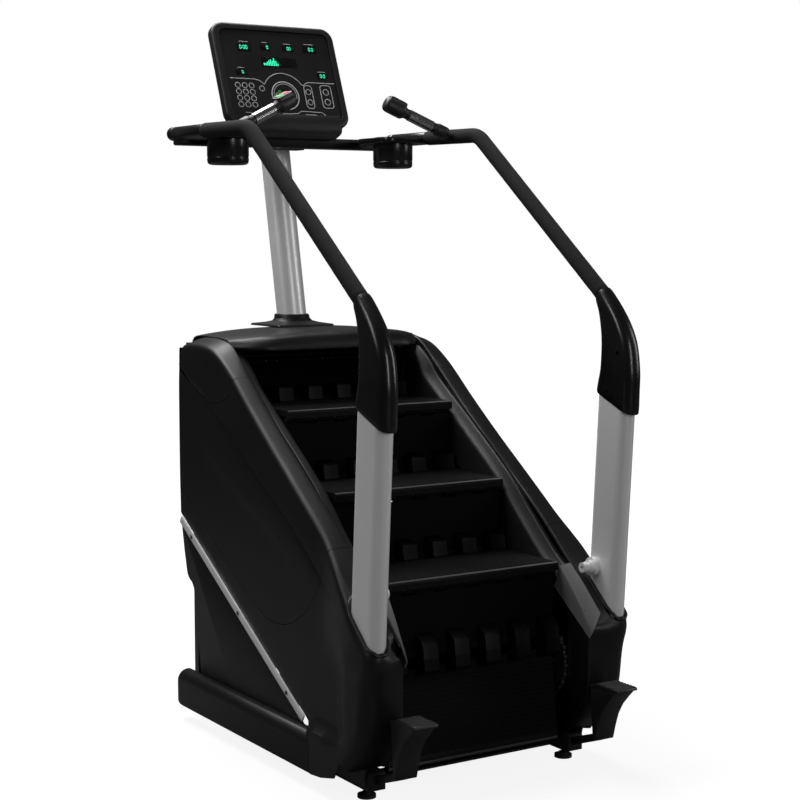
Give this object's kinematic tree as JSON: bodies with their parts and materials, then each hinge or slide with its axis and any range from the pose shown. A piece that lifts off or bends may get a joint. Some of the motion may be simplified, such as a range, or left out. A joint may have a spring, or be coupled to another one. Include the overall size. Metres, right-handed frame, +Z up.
{
  "type": "stair climber",
  "caption": "Gym stair climber with a descending flight of hinged steps, hand rails, a mast-mounted console, cup holders and side housings.",
  "frame": {"origin": "on the floor, under the middle of the machine's bounding box", "axes": "+Z up, +X to the climbing user's right, +Y the way the user climbs, towards the console"},
  "size_m": [0.856, 1.42, 2.132],
  "materials": {
    "frame_paint": "satin black powder coat",
    "black_rubber": "matt",
    "ground_steel": "ground",
    "cast_metal": "machined and oiled",
    "chain_steel": "oiled",
    "belt_rubber": "matt",
    "tread_plastic": "ribbed, worn along the nose",
    "riser_plastic": "fine grain",
    "cover_plastic": "satin, fine moulded grain",
    "inner_plastic": "satin",
    "trim_plastic": "satin mid grey",
    "bright_strip": "satin anodised",
    "black_steel": "black oxide",
    "silver_paint": "satin silver metallic",
    "gloss_black": "gloss",
    "foam": "matt closed-cell foam",
    "grip_plastic": "satin",
    "contact_chrome": "polished",
    "green_key": "gloss",
    "red_key": "gloss",
    "console_plastic": "satin",
    "display": "printed membrane, semi gloss",
    "cast_black": "black powder coat",
    "circuit_board": "lacquered"
  },
  "bodies": {
    "machine": {"base_frame": "frame_paint", "levelling_feet": "black_rubber", "shaft_bearings": "cast_metal", "brake_housing": "cast_metal", "drive_belt": "belt_rubber", "upper_side_panels": "cover_plastic", "front_side_panels": "cover_plastic", "lower_side_panels": "cover_plastic", "side_strips": "bright_strip", "cover_screws": "black_steel", "base_skirts": "cover_plastic", "inner_walls": "inner_plastic", "entry_trims": "trim_plastic", "hood": "cover_plastic", "rear_cover": "cover_plastic", "uprights": "silver_paint", "elbow_covers": "gloss_black", "handrail_frame": "gloss_black", "foam_grips": "foam", "cup_holders": "gloss_black", "heart_rate_grips": "grip_plastic", "heart_rate_contacts": "contact_chrome", "mast": "silver_paint", "mast_collar": "cover_plastic", "console_shell": "console_plastic", "console_bezel": "console_plastic", "display_panel": "display", "reading_ledge": "console_plastic", "foot_pegs": "cast_black", "rail_sensors": "silver_paint", "control_board": "circuit_board"},
    "left_wheel": {"left_transport_wheel": "black_rubber"},
    "right_wheel": {"right_transport_wheel": "black_rubber"},
    "idler": {"idler_shaft": "ground_steel", "idler_sprockets": "cast_metal", "idler_chain_wraps": "chain_steel"},
    "drive": {"drive_shaft": "ground_steel", "drive_sprockets": "cast_metal", "drive_chain_wraps": "chain_steel", "driven_pulley": "cast_metal"},
    "brake_spindle": {"brake_rotor": "ground_steel"},
    "front_steps": {"front_treads": "tread_plastic", "front_risers": "riser_plastic", "front_hinge_pins": "ground_steel", "front_chains": "chain_steel"},
    "bottom_tread": {"lower_tread": "tread_plastic", "lower_nose_pin": "ground_steel"},
    "bottom_riser": {"lower_riser": "riser_plastic"},
    "return_steps": {"return_treads": "tread_plastic", "return_risers": "riser_plastic", "return_hinge_pins": "ground_steel", "return_chains": "chain_steel"},
    "top_riser": {"upper_riser": "riser_plastic", "upper_nose_pin": "ground_steel"},
    "top_tread": {"upper_tread": "tread_plastic"},
    "left_green_button": {"left_green_key": "green_key"},
    "left_red_button": {"left_red_key": "red_key"},
    "right_green_button": {"right_green_key": "green_key"},
    "right_red_button": {"right_red_key": "red_key"}
  },
  "joints": [
    {"name": "stair_travel", "type": "slide", "parent": "machine", "child": "front_steps", "axis": [0, -0.7924, -0.6099], "range_m": [0, 0.02563]},
    {"name": "return_travel", "type": "slide", "parent": "machine", "child": "return_steps", "axis": [0, 0.7924, 0.6099], "range_m": [0, 0.02614]},
    {"name": "bottom_tread_swing", "type": "hinge", "parent": "front_steps", "child": "bottom_tread", "pos_m": [0, -0.421, 0.3638], "axis": [1, 0, 0], "range_deg": [0, 13.88]},
    {"name": "bottom_riser_swing", "type": "hinge", "parent": "bottom_tread", "child": "bottom_riser", "pos_m": [0, -0.43117, 0.08387], "axis": [1, 0, 0], "range_deg": [-1.65, 0]},
    {"name": "top_riser_swing", "type": "hinge", "parent": "front_steps", "child": "top_riser", "pos_m": [0, 0.371, 0.9734], "axis": [1, 0, 0], "range_deg": [0, 12.22]},
    {"name": "top_tread_swing", "type": "hinge", "parent": "top_riser", "child": "top_tread", "pos_m": [0, 0.51085, 1.08486], "axis": [1, 0, 0], "range_deg": [0, 1.65]},
    {"name": "idler_turn", "type": "hinge", "parent": "machine", "child": "idler", "pos_m": [0, -0.35616, 0.27956], "axis": [1, 0, 0], "range_deg": [0, 14.09]},
    {"name": "drive_turn", "type": "hinge", "parent": "machine", "child": "drive", "pos_m": [0, 0.43584, 0.88916], "axis": [1, 0, 0], "range_deg": [0, 14.09]},
    {"name": "brake_turn", "type": "hinge", "parent": "machine", "child": "brake_spindle", "pos_m": [0, 0.374, 0.205], "axis": [1, 0, 0], "range_deg": [0, 56.36]},
    {"name": "left_wheel_roll", "type": "hinge", "parent": "machine", "child": "left_wheel", "pos_m": [0, 0.582, 0.041], "axis": [1, 0, 0], "continuous": true},
    {"name": "right_wheel_roll", "type": "hinge", "parent": "machine", "child": "right_wheel", "pos_m": [0, 0.582, 0.041], "axis": [1, 0, 0], "continuous": true},
    {"name": "left_green_press", "type": "slide", "parent": "machine", "child": "left_green_button", "axis": [0.4025, 0.0856, -0.9114], "range_m": [0, 0.0015]},
    {"name": "left_red_press", "type": "slide", "parent": "machine", "child": "left_red_button", "axis": [0.4025, 0.0856, -0.9114], "range_m": [0, 0.0015]},
    {"name": "right_green_press", "type": "slide", "parent": "machine", "child": "right_green_button", "axis": [-0.4025, 0.0856, -0.9114], "range_m": [0, 0.0015]},
    {"name": "right_red_press", "type": "slide", "parent": "machine", "child": "right_red_button", "axis": [-0.4025, 0.0856, -0.9114], "range_m": [0, 0.0015]}
  ],
  "couplings": [
    {"joint": "return_travel", "follows": "stair_travel", "ratio": 1},
    {"joint": "bottom_tread_swing", "follows": "stair_travel", "rad_per_m": 9.27},
    {"joint": "bottom_riser_swing", "follows": "stair_travel", "rad_per_m": -1.1},
    {"joint": "top_riser_swing", "follows": "stair_travel", "rad_per_m": 8.16},
    {"joint": "top_tread_swing", "follows": "stair_travel", "rad_per_m": 1.1},
    {"joint": "idler_turn", "follows": "stair_travel", "rad_per_m": 9.4071},
    {"joint": "drive_turn", "follows": "stair_travel", "rad_per_m": 9.4071},
    {"joint": "brake_turn", "follows": "stair_travel", "rad_per_m": 37.629}
  ]
}
